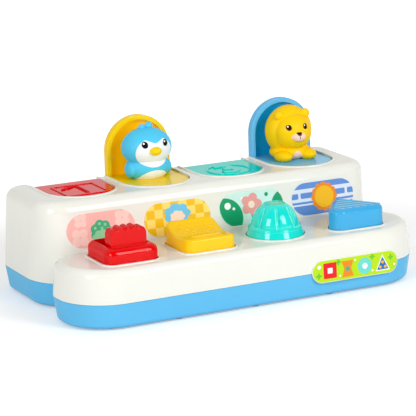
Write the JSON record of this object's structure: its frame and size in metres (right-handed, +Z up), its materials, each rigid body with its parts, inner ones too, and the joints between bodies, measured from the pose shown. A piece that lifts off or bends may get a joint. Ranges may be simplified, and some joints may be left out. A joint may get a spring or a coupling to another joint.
{
  "type": "pop-up animal toy",
  "caption": "Two-tier moulded toy with hinged flaps that carry small animals, released by a slider, a rocker, a twist knob and a push button through latch levers.",
  "frame": {"origin": "centre of the footprint, on the surface that the foot pads stand on", "axes": "+X along the toy to the right as a child sees it, +Y to the rear, +Z up"},
  "size_m": [0.3332, 0.1872, 0.1448],
  "materials": {
    "shell_white": "glossy moulded",
    "tray_blue": "glossy moulded",
    "foot_rubber": "matt",
    "steel": "bright zinc",
    "inner_grey": "matt moulded",
    "red": "glossy moulded",
    "sticker_pink": "printed film",
    "sticker_yellow": "printed film",
    "sticker_mint": "printed film",
    "sticker_blue": "printed film",
    "badge_lime": "printed film",
    "flap_red": "glossy moulded",
    "crocodile_green": "satin",
    "flap_yellow": "glossy moulded",
    "penguin_blue": "satin",
    "flap_teal": "glossy moulded",
    "hippo_pink": "satin",
    "flap_blue": "glossy moulded",
    "lion_yellow": "satin",
    "latch_grey": "matt moulded",
    "yellow": "glossy moulded",
    "turquoise": "glossy moulded",
    "button_blue": "glossy moulded"
  },
  "bodies": {
    "housing": {"top_shell": "shell_white", "bottom_base": "tray_blue", "foot_pads": "foot_rubber", "housing_screws": "steel", "hinge_rod": "steel", "latch_rod": "steel", "rear_rod_keeper": "inner_grey", "front_rod_keeper": "inner_grey", "rear_keeper_screws": "steel", "front_keeper_screws": "steel", "button_carrier": "inner_grey", "carrier_screws": "steel", "slider_track": "red", "rocker_pin": "steel", "panel_sticker_1": "sticker_pink", "panel_sticker_2": "sticker_yellow", "panel_sticker_3": "sticker_mint", "panel_sticker_4": "sticker_blue", "badge_sticker": "badge_lime", "latch_spring_1": "steel", "latch_spring_2": "steel", "latch_spring_3": "steel", "latch_spring_4": "steel", "push_button_spring": "steel"},
    "flap_1_body": {"flap_1": "flap_red", "crocodile_figure": "crocodile_green", "figure_screw_1": "steel", "flap_spring_1": "steel"},
    "flap_2_body": {"flap_2": "flap_yellow", "penguin_figure": "penguin_blue", "figure_screw_2": "steel", "flap_spring_2": "steel"},
    "flap_3_body": {"flap_3": "flap_teal", "hippo_figure": "hippo_pink", "figure_screw_3": "steel", "flap_spring_3": "steel"},
    "flap_4_body": {"flap_4": "flap_blue", "lion_figure": "lion_yellow", "figure_screw_4": "steel", "flap_spring_4": "steel"},
    "latch_lever_1_body": {"latch_lever_1": "latch_grey"},
    "latch_lever_2_body": {"latch_lever_2": "latch_grey"},
    "latch_lever_3_body": {"latch_lever_3": "latch_grey"},
    "latch_lever_4_body": {"latch_lever_4": "latch_grey"},
    "slider": {"slider_bar": "red", "slider_keeper": "inner_grey"},
    "rocker": {"rocker_button": "yellow"},
    "knob": {"twist_knob": "turquoise", "knob_washer": "steel", "knob_screw": "steel"},
    "button": {"push_button": "button_blue"}
  },
  "joints": [
    {"name": "flap_1_hinge", "type": "hinge", "parent": "housing", "child": "flap_1_body", "pos_m": [-0.108, 0.067, 0.0836], "axis": [-1, 0, 0], "range_deg": [0, 90]},
    {"name": "flap_2_hinge", "type": "hinge", "parent": "housing", "child": "flap_2_body", "pos_m": [-0.036, 0.067, 0.0836], "axis": [-1, 0, 0], "range_deg": [-90, 0], "stiffness_Nm_per_rad": 0.03, "springref_deg": 34.38},
    {"name": "flap_3_hinge", "type": "hinge", "parent": "housing", "child": "flap_3_body", "pos_m": [0.036, 0.067, 0.0836], "axis": [-1, 0, 0], "range_deg": [0, 90]},
    {"name": "flap_4_hinge", "type": "hinge", "parent": "housing", "child": "flap_4_body", "pos_m": [0.108, 0.067, 0.0836], "axis": [-1, 0, 0], "range_deg": [-90, 0], "stiffness_Nm_per_rad": 0.03, "springref_deg": 34.38},
    {"name": "latch_lever_1_pivot", "type": "hinge", "parent": "housing", "child": "latch_lever_1_body", "pos_m": [-0.108, 0.0025, 0.0612], "axis": [1, 0, 0], "range_deg": [0, 4.5], "deforming": ["latch_spring_1"]},
    {"name": "latch_lever_2_pivot", "type": "hinge", "parent": "housing", "child": "latch_lever_2_body", "pos_m": [-0.036, 0.0025, 0.0612], "axis": [1, 0, 0], "range_deg": [0, 4.5], "deforming": ["latch_spring_2"]},
    {"name": "latch_lever_3_pivot", "type": "hinge", "parent": "housing", "child": "latch_lever_3_body", "pos_m": [0.036, 0.0025, 0.0612], "axis": [1, 0, 0], "range_deg": [0, 4.5], "deforming": ["latch_spring_3"]},
    {"name": "latch_lever_4_pivot", "type": "hinge", "parent": "housing", "child": "latch_lever_4_body", "pos_m": [0.108, 0.0025, 0.0612], "axis": [1, 0, 0], "range_deg": [0, 4.5], "deforming": ["latch_spring_4"]},
    {"name": "slider_slide", "type": "slide", "parent": "housing", "child": "slider", "axis": [0, 1, 0], "range_m": [0, 0.018]},
    {"name": "rocker_press", "type": "hinge", "parent": "housing", "child": "rocker", "pos_m": [-0.036, -0.0314, 0.0467], "axis": [1, 0, 0], "range_deg": [0, 5], "stiffness_Nm_per_rad": 0.3, "springref_deg": -2.86},
    {"name": "knob_turn", "type": "hinge", "parent": "housing", "child": "knob", "pos_m": [0.036, -0.0524, 0.0456], "axis": [0, 0, 1], "range_deg": [0, 60], "stiffness_Nm_per_rad": 0.01, "springref_deg": -11.46},
    {"name": "button_press", "type": "slide", "parent": "housing", "child": "button", "axis": [0, 0, -1], "range_m": [0, 0.004], "stiffness_N_per_m": 200, "springref_m": -0.003, "deforming": ["push_button_spring"]}
  ],
  "couplings": [
    {"joint": "latch_lever_1_pivot", "follows": "slider_slide", "rad_per_m": 2.4241},
    {"joint": "latch_lever_2_pivot", "follows": "rocker_press", "ratio": 0.52},
    {"joint": "latch_lever_3_pivot", "follows": "knob_turn", "ratio": 0.0583},
    {"joint": "latch_lever_4_pivot", "follows": "button_press", "rad_per_m": 17.89}
  ]
}
